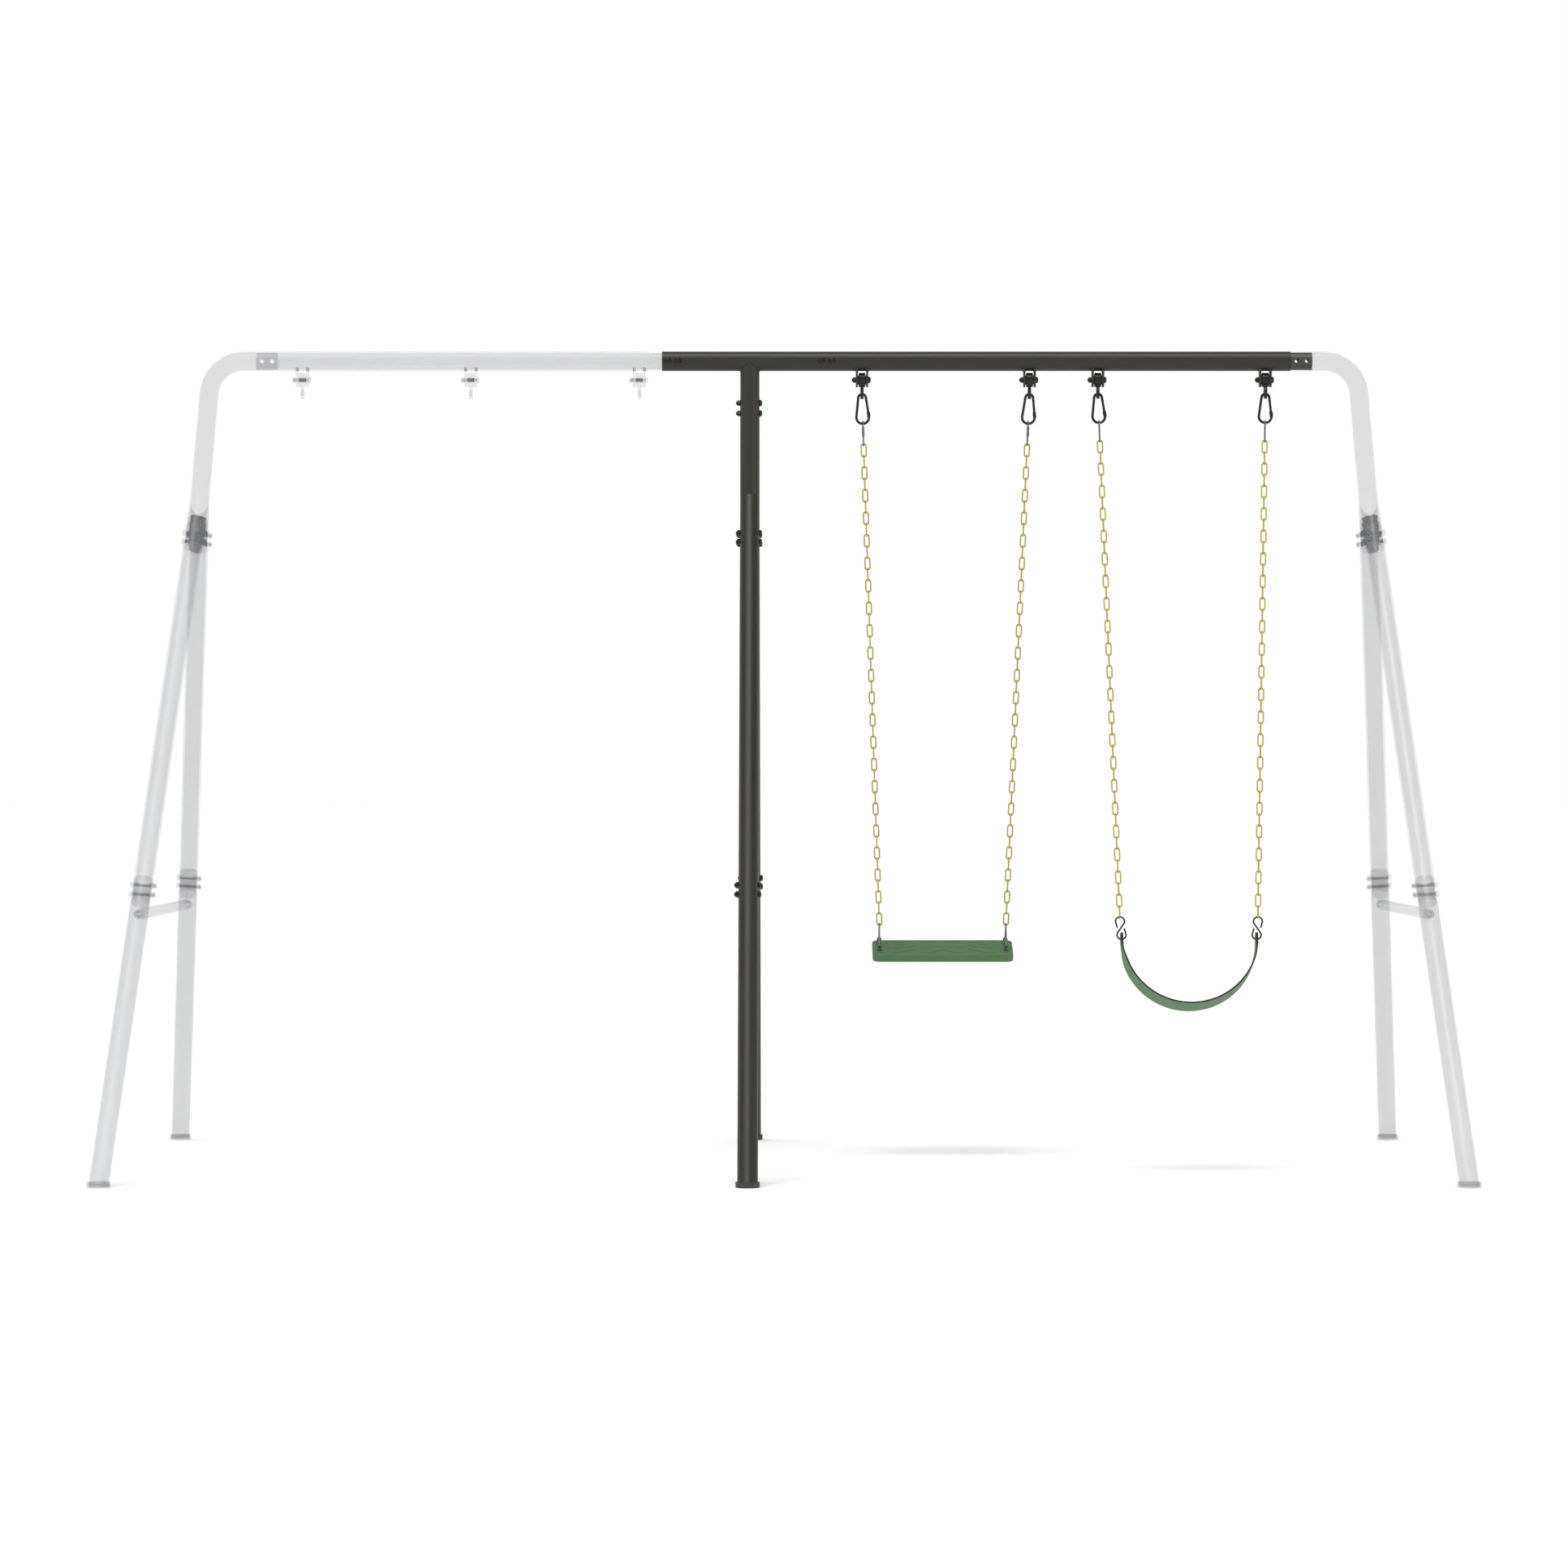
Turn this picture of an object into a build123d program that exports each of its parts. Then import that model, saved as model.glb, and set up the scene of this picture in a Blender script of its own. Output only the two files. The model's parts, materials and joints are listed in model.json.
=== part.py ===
"""A modular steel swing set: a long round beam on three A-frames, a flat board swing, a belt
swing and three spare swing hangers.

Frame: X runs along the beam, Y across it, Z up. The ground is Z = 0 and the origin is midway
between the feet. All sizes are in millimetres.
"""
from build123d import *
from math import asin, atan2, cos, degrees, hypot, radians, sin, sqrt, tan
import os

os.makedirs("parts", exist_ok=True)

# ---------------------------------------------------------------- frame tubes
TUBE_D = 60.0  # every frame tube, outside
TUBE_WALL = 2.5
NECK_PLAY = 0.5  # gap all round between a swaged neck and the tube that sleeves over it
BEAM_Z = 2462.5  # beam axis above the ground
BEAM_END_X = 1557.0  # where the corner tubes meet the two outer beam tubes
BEAM_NECK = 66.0  # neck that goes into a corner tube
TEE_X = -105.0  # middle of the beam tee, over the middle A-frame
TEE_LENGTH = 540.0
TEE_INSERT = 70.0  # neck that goes into the tee
LEFT_NECK_SHOWN = 40.0  # the left beam tube stands this far out of the tee
STUB_STEP = 0.4  # the stub's radius under the beam's, so that its saddle weld closes
STUB_Z = 2352.0  # lower end of the tee's stub, where the middle post begins
POST_NECK = 80.0
FOOT_X = 1975.0  # end-frame feet from the middle of the set
FOOT_Y = 1250.0  # every foot from the plane of the beam
END_LEAN = 5.0  # outward lean of the end frames, degrees
KNEE_Z = 2045.0  # where a post parts into its two legs
BEND_R = 107.0  # centreline radius of the corner bend
BRANCH_END_Z = 1889.0  # lower end of the short branches under a knee
LEG_NECK_UP = 100.0  # neck of an upper leg inside its branch
LEG_JOINT_Z = 878.0  # where an upper leg enters its lower leg
LEG_NECK_DOWN = 80.0
CAP_HEIGHT = 16.0
CAP_FLOOR = 4.0  # rubber under the end of a leg
CAP_WALL = 5.0
CAP_PLAY = 0.2
CAP_ROUND = 3.5
BRACE_Z = 778.0
BRACE_D = 34.0
BRACE_WALL = 2.0
BRACE_PLUG = 40.0  # threaded plug in each end of a brace

# ---------------------------------------------------------------- fasteners
BOLT_D = 10.0
BOLT_HOLE_D = 12.0
JOINT_BOLTS = (18.0, 49.5)  # bolt stations from the mouth of each sleeved joint
HEAD_D = 20.0
HEAD_H = 8.0
NUT_FLATS = 17.0
NUT_H = 9.5
NUT_COLLAR = 2.0
BOLT_TAIL = 3.0  # thread showing past a nut
HEAD_ROUND = 6.0

# ---------------------------------------------------------------- swing hangers
PAIR_PITCH = 515.0  # between the two hangers of a swing
BOARD_X = 240.0  # left hanger of the board swing
BELT_X = 965.0  # left hanger of the belt swing
SPARE_X = -445.0  # first spare hanger
SPARE_PITCH = 518.0
SPARE_COUNT = 3
PIVOT_DROP = 57.5  # hanger bolt under the beam axis
EAR_T = 6.0
EAR_GAP = 26.0
EAR_W = 45.0
BARREL_D = 44.0
BARREL_W = 21.0
BUSH_D = 16.0
BUSH_FLANGE_D = 28.0
BUSH_SIDE_PLAY = 0.1
TURN_PLAY = 0.05  # radial running gap of the barrels on their bushes
EYE_DROP = 39.5  # eye centre under the hanger bolt
EYE_R = 20.0
EYE_HOLE_R = 9.5
EYE_T = 10.0
EYE_ROUND = 2.5
EYE_NECK_W = 26.0  # neck between the barrel and the eye
BARREL_ROUND = 1.5

# ---------------------------------------------------------------- swing hardware
SEAT_GAP = 0.2  # gap left wherever one hanging piece rests in the next
EYE_GAP = 0.8  # the same, under a carabiner in its eye
CARABINER_WIRE = 8.0
CARABINER_LENGTH = 100.0
CARABINER_TOP_W = 31.7
CARABINER_BOTTOM_W = 46.7
GATE_HINGE = 20.0  # gate pin under the top of the carabiner's inside
GATE_LATCH = 60.0  # middle of the latch nose, measured the same way
GATE_PLAY = 0.3
TONGUE_T = 2.6
PIN_D = 2.4
NOSE_W = 10.5  # latch nose, from inside to outside
NOSE_T = 7.0
NOSE_LENGTH = 16.0
NOSE_ROUND = 1.5
NOSE_SLOT = 3.0  # how far the nose's slot runs past its middle
QUICK_WIRE = 5.0
QUICK_LENGTH = 80.0
QUICK_WIDTH = 26.0
QUICK_OPENING = 12.0  # gap in the wire under the sleeve
SLEEVE_D = 9.6
SLEEVE_LENGTH = 28.0
SLEEVE_RISE = 7.0  # sleeve above the middle of its link
SLEEVE_PLAY = 0.2
END_LINK_WIRE = 4.5
END_LINK_LENGTH = 72.0
END_LINK_WIDTH = 22.0
CHAIN_WIRE = 4.5
LINK_PITCH = 35.5
LINK_WIDTH = 19.5
BOARD_LINKS = 43
BELT_LINKS = 42

# ---------------------------------------------------------------- board seat
BOARD_ANGLE = 13.0  # swung back, degrees
BOARD_LENGTH = 440.0
BOARD_DEPTH = 180.0
BOARD_T = 26.0
BOARD_CORNER = 22.0
BOARD_EDGE = 4.0
GROOVE_D = 1.6  # depth of the grip grooves
GROOVE_W = 3.0
EYE_BOLT_INSET = 21.5  # eye bolts from the ends of the board
EYE_BOLT_PITCH = 90.0  # front to back
EYE_BOLT_D = 6.0
EYE_BOLT_HOLE_D = 6.6
EYE_BOLT_EYE_R = 3.2
EYE_BOLT_WIRE = 4.5
EYE_BOLT_RISE = 13.0  # eye centre above the board
EYE_COLLAR_D = 16.0
EYE_COLLAR_H = 1.6
EYE_NUT_FLATS = 10.0
EYE_NUT_H = 5.0
EYE_BOLT_TAIL = 1.5
TRIANGLE_WIRE = 5.0
TRIANGLE_HEIGHT = 62.0  # between the wire's middle at the apex and at the base
TRIANGLE_ANGLE = 83.0  # between the two slanting sides
TRIANGLE_APEX_R = 7.0
TRIANGLE_CORNER_R = 5.0

# ---------------------------------------------------------------- belt seat
BELT_ANGLE = -12.3  # swung forward, degrees
BELT_SPAN = 417.0  # between the lower ends of the belt swing's chains
BELT_WIDTH = 140.0
BELT_T = 5.0
BELT_END_T = 8.0
BELT_END_W = 44.0
BELT_END_RISE = 22.0  # strap above its hole
BELT_TAPER = 60.0  # length over which the strap narrows to its ends
BELT_HOLE_R = 5.5
BELT_HOLE_DROP = 2.1  # hole centres under the wire that carries them
BELT_END_DROP = 20.0  # thick end under its hole
BELT_END_ROUND = 14.0
HOOK_WIRE = 5.0
HOOK_R = 13.5  # middle of the wire in each loop
HOOK_RISE = 21.0  # loop centres from the hook's middle
HOOK_SIDE = 1.5
HOOK_TAIL = 17.0
HOOK_TAIL_TURN = 15.0  # degrees that a tail leans in

# ---------------------------------------------------------------- worked out from the above
tube_r = TUBE_D / 2
bore_d = TUBE_D - 2 * TUBE_WALL
neck_d = bore_d - 2 * NECK_PLAY
neck_bore_d = neck_d - 2 * TUBE_WALL
tee_left = TEE_X - TEE_LENGTH / 2
tee_right = TEE_X + TEE_LENGTH / 2
pivot_z = BEAM_Z - PIVOT_DROP
knee_x = FOOT_X - KNEE_Z * tan(radians(END_LEAN))
corner_x = knee_x - (BEAM_Z - KNEE_Z) * tan(radians(END_LEAN))
eye_rest = EYE_DROP + EYE_HOLE_R  # bottom of an eye's hole under the hanger bolt


def along(start, end):
    """A plane at start whose normal runs to end, with its X as near to the world's as it can be."""
    run = (Vector(*end) - Vector(*start)).normalized()
    across = Vector(1, 0, 0) - run * run.X
    return Plane(origin=start, x_dir=across.normalized(), z_dir=run)


def crossing(frame, distance, side=1):
    """A plane at a distance along a frame's normal that faces sideways, out of the tube's side."""
    origin = frame.from_local_coords((0, 0, distance))
    return Plane(origin=origin, x_dir=frame.y_dir, z_dir=frame.x_dir * side)


def tube_run(start, length, outside, bore):
    """A straight run of round tube from the start plane along its normal."""
    with BuildSketch(start) as ring:
        Circle(outside / 2)
        Circle(bore / 2, mode=Mode.SUBTRACT)
    extrude(ring.sketch, amount=length)


def bore_run(start, length, bore):
    """Takes a straight round bore out of what is built so far."""
    with BuildSketch(start) as disc:
        Circle(bore / 2)
    extrude(disc.sketch, amount=length, mode=Mode.SUBTRACT)


def drill(stations, across=TUBE_D):
    """Drills bolt holes right through at each crossing plane."""
    for station in stations:
        with BuildSketch(station) as hole:
            Circle(BOLT_HOLE_D / 2)
        extrude(hole.sketch, amount=across, both=True, mode=Mode.SUBTRACT)


# ---------------------------------------------------------------- where the legs and joints lie
knees = {
    "left": (-knee_x, 0, KNEE_Z),
    "mid": (TEE_X, 0, KNEE_Z),
    "right": (knee_x, 0, KNEE_Z),
}
feet_x = {"left": -FOOT_X, "mid": TEE_X, "right": FOOT_X}
outward = {"left": -1, "mid": 1, "right": 1}
legs = {}
for frame_name in knees:
    for end_name, foot_y in (("front", -FOOT_Y), ("rear", FOOT_Y)):
        legs[frame_name, end_name] = along(knees[frame_name], (feet_x[frame_name], foot_y, 0))


def distance_down(leg, height):
    """How far down a leg's axis a height lies."""
    return (height - KNEE_Z) / leg.z_dir.Z


def upper_stations(key):
    leg = legs[key]
    mouth = distance_down(leg, BRANCH_END_Z)
    return [crossing(leg, mouth - step, outward[key[0]]) for step in JOINT_BOLTS]


def lower_stations(key):
    leg = legs[key]
    mouth = distance_down(leg, LEG_JOINT_Z)
    return [crossing(leg, mouth + step, outward[key[0]]) for step in JOINT_BOLTS]


def beam_plane(x):
    """A plane across the beam's axis, facing along it."""
    return Plane(origin=(x, 0, BEAM_Z), x_dir=(0, 1, 0), z_dir=(1, 0, 0))


def beam_stations(seam, way):
    """Bolts through the beam from front to back, stepping from a seam along X."""
    origins = [(seam + way * step, 0, BEAM_Z) for step in JOINT_BOLTS]
    return [Plane(origin=origin, x_dir=(1, 0, 0), z_dir=(0, -1, 0)) for origin in origins]


post_stations = [
    Plane(origin=(TEE_X, 0, STUB_Z - step), x_dir=(0, 1, 0), z_dir=(1, 0, 0)) for step in JOINT_BOLTS
]

# ---------------------------------------------------------------- beam
stub = Plane(origin=(TEE_X, 0, BEAM_Z), x_dir=(1, 0, 0), z_dir=(0, 0, -1))
with BuildPart() as beam_tee:
    with BuildSketch(beam_plane(tee_left)):
        Circle(tube_r)
    extrude(amount=TEE_LENGTH)
    with BuildSketch(stub):
        Circle(tube_r - STUB_STEP)
    extrude(amount=BEAM_Z - STUB_Z)
    with BuildSketch(stub.offset(BEAM_Z - STUB_Z)):
        Circle(neck_d / 2)
    extrude(amount=POST_NECK)
    bore_run(beam_plane(tee_left), TEE_LENGTH, bore_d)
    bore_run(stub, BEAM_Z - STUB_Z + POST_NECK, neck_bore_d)
    drill(beam_stations(tee_left, 1) + beam_stations(tee_right, -1) + post_stations)
beam_tee.part.label = "beam_tee"
export_step(beam_tee.part, "parts/beam_tee.step")

# The outer beam tubes: full size between their shoulders, with a swaged neck at each end.
beams = {
    "beam_left": (-BEAM_END_X, tee_left - LEFT_NECK_SHOWN, BEAM_NECK, TEE_INSERT + LEFT_NECK_SHOWN),
    "beam_right": (tee_right, BEAM_END_X, TEE_INSERT, BEAM_NECK),
}
for beam_name, (low_x, high_x, low_neck, high_neck) in beams.items():
    with BuildPart() as beam:
        with BuildSketch(beam_plane(low_x)):
            Circle(tube_r)
        extrude(amount=high_x - low_x)
        with BuildSketch(beam_plane(low_x - low_neck)):
            Circle(neck_d / 2)
        extrude(amount=high_x - low_x + low_neck + high_neck)
        bore_run(beam_plane(low_x - low_neck), high_x - low_x + low_neck + high_neck, neck_bore_d)
        if beam_name == "beam_left":
            drill(beam_stations(-BEAM_END_X, -1) + beam_stations(tee_left, 1))
        else:
            drill(beam_stations(BEAM_END_X, 1) + beam_stations(tee_right, -1))
    beam.part.label = beam_name
    export_step(beam.part, f"parts/{beam_name}.step")

# ---------------------------------------------------------------- corner tubes and middle yoke
for side_name, side in (("left", -1), ("right", 1)):
    mouth = Plane(origin=(side * BEAM_END_X, 0, BEAM_Z), x_dir=(0, 1, 0), z_dir=(side, 0, 0))
    with BuildPart() as corner_tube:
        with BuildLine(Plane.XZ) as bend:
            FilletPolyline(
                (side * BEAM_END_X, BEAM_Z), (side * corner_x, BEAM_Z), (side * knee_x, KNEE_Z), radius=BEND_R
            )
        with BuildSketch(mouth):
            Circle(tube_r)
        sweep(path=bend.line)
        for end_name in ("front", "rear"):
            leg = legs[side_name, end_name]
            with BuildSketch(leg):
                Circle(tube_r)
            extrude(amount=distance_down(leg, BRANCH_END_Z))
        with BuildSketch(mouth):
            Circle(bore_d / 2)
        sweep(path=bend.line, mode=Mode.SUBTRACT)
        for end_name in ("front", "rear"):
            leg = legs[side_name, end_name]
            bore_run(leg, distance_down(leg, BRANCH_END_Z), bore_d)
            drill(upper_stations((side_name, end_name)))
        drill(beam_stations(side * BEAM_END_X, side))
    corner_tube.part.label = f"corner_tube_{side_name}"
    export_step(corner_tube.part, f"parts/corner_tube_{side_name}.step")

with BuildPart() as mid_yoke:
    post_top = Plane(origin=(TEE_X, 0, STUB_Z), x_dir=(1, 0, 0), z_dir=(0, 0, -1))
    with BuildSketch(post_top):
        Circle(tube_r)
    extrude(amount=STUB_Z - KNEE_Z)
    for end_name in ("front", "rear"):
        leg = legs["mid", end_name]
        with BuildSketch(leg):
            Circle(tube_r)
        extrude(amount=distance_down(leg, BRANCH_END_Z))
    bore_run(post_top, STUB_Z - KNEE_Z, bore_d)
    for end_name in ("front", "rear"):
        leg = legs["mid", end_name]
        bore_run(leg, distance_down(leg, BRANCH_END_Z), bore_d)
        drill(upper_stations(("mid", end_name)))
    drill(post_stations)
mid_yoke.part.label = "mid_yoke"
export_step(mid_yoke.part, "parts/mid_yoke.step")

# ---------------------------------------------------------------- legs, caps and braces
brace_x = FOOT_X - BRACE_Z * tan(radians(END_LEAN))
brace_y = FOOT_Y * (KNEE_Z - BRACE_Z) / KNEE_Z


def brace_station(side, way):
    """The brace's end on a leg's axis, facing out along Y."""
    return Plane(origin=(side * brace_x, way * brace_y, BRACE_Z), x_dir=(1, 0, 0), z_dir=(0, way, 0))


for key, leg in legs.items():
    frame_name, end_name = key
    mouth_up = distance_down(leg, BRANCH_END_Z)
    mouth_down = distance_down(leg, LEG_JOINT_Z)
    leg_length = LEG_NECK_UP + mouth_down - mouth_up + LEG_NECK_DOWN
    with BuildPart() as upper_leg:
        with BuildSketch(leg.offset(mouth_up - LEG_NECK_UP)):
            Circle(neck_d / 2)
        extrude(amount=leg_length)
        with BuildSketch(leg.offset(mouth_up)):
            Circle(tube_r)
        extrude(amount=mouth_down - mouth_up)
        bore_run(leg.offset(mouth_up - LEG_NECK_UP), leg_length, neck_bore_d)
        drill(upper_stations(key) + lower_stations(key))
    upper_leg.part.label = f"{frame_name}_{end_name}_upper_leg"
    export_step(upper_leg.part, f"parts/{frame_name}_{end_name}_upper_leg.step")

    with BuildPart() as lower_leg:
        tube_run(leg.offset(mouth_down), distance_down(leg, -TUBE_D) - mouth_down, TUBE_D, bore_d)
        split(bisect_by=Plane.XY.offset(CAP_FLOOR), keep=Keep.TOP)
        drill(lower_stations(key))
        if frame_name != "mid":
            drill([brace_station(outward[frame_name], -1 if end_name == "front" else 1)])
    lower_leg.part.label = f"{frame_name}_{end_name}_lower_leg"
    export_step(lower_leg.part, f"parts/{frame_name}_{end_name}_lower_leg.step")


# Rubber cups, level on the ground, that the slanting ends of the legs stand in.
caps = {}
for key, leg in legs.items():
    middle = leg.from_local_coords((0, 0, distance_down(leg, CAP_HEIGHT / 2)))
    outline = Plane(origin=(middle.X, middle.Y, 0), x_dir=(1, 0, 0), z_dir=(0, 0, 1))
    tilt = hypot(leg.z_dir.X, leg.z_dir.Y)
    slant = (tube_r + CAP_HEIGHT / 2 * tilt) / -leg.z_dir.Z
    with BuildPart() as cap:
        with BuildSketch(outline):
            Ellipse(tube_r + CAP_WALL, slant + CAP_WALL)
        extrude(amount=CAP_HEIGHT)
        bore_run(leg.offset(distance_down(leg, TUBE_D)), 3 * TUBE_D, TUBE_D + 2 * CAP_PLAY)
        with BuildSketch(outline):
            Ellipse(tube_r + CAP_WALL, slant + CAP_WALL)
        extrude(amount=CAP_FLOOR)
        fillet(cap.edges().group_by(Axis.Z)[0], radius=CAP_ROUND)
    caps[key] = cap.part

with BuildPart() as end_foot_caps:
    for key in caps:
        if key[0] != "mid":
            add(caps[key])
end_foot_caps.part.label = "end_foot_caps"
export_step(end_foot_caps.part, "parts/end_foot_caps.step")

with BuildPart() as mid_foot_caps:
    for end_name in ("front", "rear"):
        add(caps["mid", end_name])
mid_foot_caps.part.label = "mid_foot_caps"
export_step(mid_foot_caps.part, "parts/mid_foot_caps.step")

for side_name, side in (("left", -1), ("right", 1)):
    with BuildPart() as brace:
        front_end = brace_station(side, -1)
        tube_run(front_end.offset(-2 * brace_y), 2 * brace_y, BRACE_D, BRACE_D - 2 * BRACE_WALL)
        for way in (-1, 1):
            with BuildSketch(brace_station(side, way).offset(-tube_r - BRACE_PLUG)):
                Circle(BRACE_D / 2)
            extrude(amount=tube_r + BRACE_PLUG)
        for way in (-1, 1):
            bore_run(brace_station(side, way).offset(-2 * BRACE_PLUG), 2 * BRACE_PLUG, BOLT_D + 2 * SEAT_GAP)
        for end_name in ("front", "rear"):
            leg = legs[side_name, end_name]
            bore_run(leg.offset(distance_down(leg, BEAM_Z / 2)), BEAM_Z, TUBE_D)
    brace.part.label = f"{side_name}_brace"
    export_step(brace.part, f"parts/{side_name}_brace.step")

# ---------------------------------------------------------------- bolts and nuts


def bolt_shape(grip):
    """A domed bolt along Z, its head over +Z, that holds a grip centred on the origin."""
    with BuildSketch(Plane.XY.offset(-grip / 2 - NUT_H - BOLT_TAIL)) as shank:
        Circle(BOLT_D / 2)
    extrude(shank.sketch, amount=grip + NUT_H + BOLT_TAIL)
    with BuildSketch(Plane.XY.offset(grip / 2)) as head:
        Circle(HEAD_D / 2)
    extrude(head.sketch, amount=HEAD_H)


def nut_shape(grip):
    """The locking nut at the other end of the same grip."""
    with BuildSketch(Plane.XY.offset(-grip / 2 - NUT_H + NUT_COLLAR)) as hexagon:
        RegularPolygon(NUT_FLATS / 2, 6, major_radius=False)
    extrude(hexagon.sketch, amount=NUT_H - NUT_COLLAR)
    with BuildSketch(Plane.XY.offset(-grip / 2 - NUT_H)) as collar:
        Circle(NUT_FLATS / 2 - 1)
    extrude(collar.sketch, amount=NUT_COLLAR)
    bore_run(Plane.XY.offset(-grip / 2 - NUT_H), NUT_H, BOLT_D + 2 * SEAT_GAP)


with BuildPart() as frame_bolt:
    bolt_shape(TUBE_D)
    fillet(frame_bolt.edges().sort_by(Axis.Z)[-1], radius=HEAD_ROUND)
with BuildPart() as frame_nut:
    nut_shape(TUBE_D)
ear_span = EAR_GAP + 2 * EAR_T
with BuildPart() as hanger_bolt:
    bolt_shape(ear_span)
    fillet(hanger_bolt.edges().sort_by(Axis.Z)[-1], radius=HEAD_ROUND)
with BuildPart() as hanger_nut:
    nut_shape(ear_span)

mid_stations = beam_stations(tee_left, 1) + beam_stations(tee_right, -1) + post_stations
end_stations = []
for key in legs:
    if key[0] == "mid":
        mid_stations = mid_stations + upper_stations(key) + lower_stations(key)
    else:
        end_stations = end_stations + upper_stations(key) + lower_stations(key)

with BuildPart() as mid_frame_bolts:
    with Locations(*mid_stations):
        add(frame_bolt.part)
mid_frame_bolts.part.label = "mid_frame_bolts"
export_step(mid_frame_bolts.part, "parts/mid_frame_bolts.step")

with BuildPart() as mid_frame_nuts:
    with Locations(*mid_stations):
        add(frame_nut.part)
mid_frame_nuts.part.label = "mid_frame_nuts"
export_step(mid_frame_nuts.part, "parts/mid_frame_nuts.step")

with BuildPart() as end_frame_bolts:
    with Locations(*end_stations):
        add(frame_bolt.part)
end_frame_bolts.part.label = "end_frame_bolts"
export_step(end_frame_bolts.part, "parts/end_frame_bolts.step")

with BuildPart() as end_frame_nuts:
    with Locations(*end_stations):
        add(frame_nut.part)
end_frame_nuts.part.label = "end_frame_nuts"
export_step(end_frame_nuts.part, "parts/end_frame_nuts.step")

# A brace bolt's collar is shaped to sit square on the slanting leg.
brace_bolt_parts = []
for side_name, side in (("left", -1), ("right", 1)):
    for end_name, way in (("front", -1), ("rear", 1)):
        leg = legs[side_name, end_name]
        reach = tube_r / -leg.z_dir.Z + HEAD_D / 2 * hypot(leg.z_dir.X, leg.z_dir.Y) + 2
        with BuildPart() as brace_bolt:
            with BuildSketch(brace_station(side, way)):
                Circle(HEAD_D / 2)
            extrude(amount=reach + HEAD_H)
            fillet(brace_bolt.edges().sort_by(Axis.Y)[0 if way < 0 else -1], radius=HEAD_ROUND)
            bore_run(leg.offset(distance_down(leg, BEAM_Z / 2)), BEAM_Z, TUBE_D)
            with BuildSketch(brace_station(side, way).offset(-tube_r - BRACE_PLUG)):
                Circle(BOLT_D / 2)
            extrude(amount=tube_r + BRACE_PLUG + reach)
        brace_bolt_parts.append(brace_bolt.part)

with BuildPart() as brace_bolts:
    for bolt_part in brace_bolt_parts:
        add(bolt_part)
brace_bolts.part.label = "brace_bolts"
export_step(brace_bolts.part, "parts/brace_bolts.step")

# ---------------------------------------------------------------- swing hangers
right_hangers = [BOARD_X, BOARD_X + PAIR_PITCH, BELT_X, BELT_X + PAIR_PITCH]
left_hangers = [SPARE_X - SPARE_PITCH * step for step in range(SPARE_COUNT)]
bush_flange = (EAR_GAP - BARREL_W) / 2 - BUSH_SIDE_PLAY

for side_name, hangers in (("right", right_hangers), ("left", left_hangers)):
    # Two flat ears per hanger, saddled to the underside of the beam and welded there.
    bolt_planes = [Plane(origin=(x, 0, pivot_z), x_dir=(0, 1, 0), z_dir=(1, 0, 0)) for x in hangers]
    ear_planes = [plane.offset(EAR_GAP / 2) for plane in bolt_planes]
    ear_planes = ear_planes + [plane.offset(-EAR_GAP / 2 - EAR_T) for plane in bolt_planes]
    with BuildPart() as ears:
        with BuildSketch(*ear_planes):
            Circle(EAR_W / 2)
            with Locations((0, PIVOT_DROP / 2)):
                Rectangle(EAR_W, PIVOT_DROP)
            Circle(BOLT_D / 2 + SEAT_GAP, mode=Mode.SUBTRACT)
        extrude(amount=EAR_T)
        bore_run(beam_plane(min(hangers) - TUBE_D), max(hangers) - min(hangers) + 2 * TUBE_D, TUBE_D)
    ears.part.label = f"{side_name}_hanger_ears"
    export_step(ears.part, f"parts/{side_name}_hanger_ears.step")

    with BuildPart() as hanger_bolts:
        with Locations(*bolt_planes):
            add(hanger_bolt.part)
    hanger_bolts.part.label = f"{side_name}_hanger_bolts"
    export_step(hanger_bolts.part, f"parts/{side_name}_hanger_bolts.step")

    with BuildPart() as hanger_nuts:
        with Locations(*bolt_planes):
            add(hanger_nut.part)
    hanger_nuts.part.label = f"{side_name}_hanger_nuts"
    export_step(hanger_nuts.part, f"parts/{side_name}_hanger_nuts.step")

    # Nylon bushes, clamped between the ears: the barrels turn on them.
    with BuildPart() as hanger_bushes:
        for plane in bolt_planes:
            tube_run(plane.offset(-EAR_GAP / 2), EAR_GAP, BUSH_D, BOLT_D + 2 * SEAT_GAP)
            tube_run(plane.offset(-EAR_GAP / 2), bush_flange, BUSH_FLANGE_D, BUSH_D)
            tube_run(plane.offset(EAR_GAP / 2 - bush_flange), bush_flange, BUSH_FLANGE_D, BUSH_D)
    hanger_bushes.part.label = f"{side_name}_hanger_bushes"
    export_step(hanger_bushes.part, f"parts/{side_name}_hanger_bushes.step")

# A pivot: a barrel that turns on its bush, with a forged eye under it.
with BuildPart() as pivot_eye:
    with BuildSketch(Plane.YZ.offset(-EYE_T / 2)):
        with Locations((0, -EYE_DROP)):
            Circle(EYE_R)
        with Locations((0, -EYE_DROP / 2)):
            Rectangle(EYE_NECK_W, EYE_DROP)
        with Locations((0, -EYE_DROP)):
            Circle(EYE_HOLE_R, mode=Mode.SUBTRACT)
    extrude(amount=EYE_T)
    fillet(pivot_eye.faces().filter_by(Axis.X).edges(), radius=EYE_ROUND)

with BuildPart() as pivot:
    with BuildSketch(Plane.YZ.offset(-BARREL_W / 2)):
        Circle(BARREL_D / 2)
    extrude(amount=BARREL_W)
    fillet(pivot.edges().filter_by(GeomType.CIRCLE), radius=BARREL_ROUND)
    add(pivot_eye.part)
    bore_run(Plane.YZ.offset(-BARREL_W / 2), BARREL_W, BUSH_D + 2 * TURN_PLAY)

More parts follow.
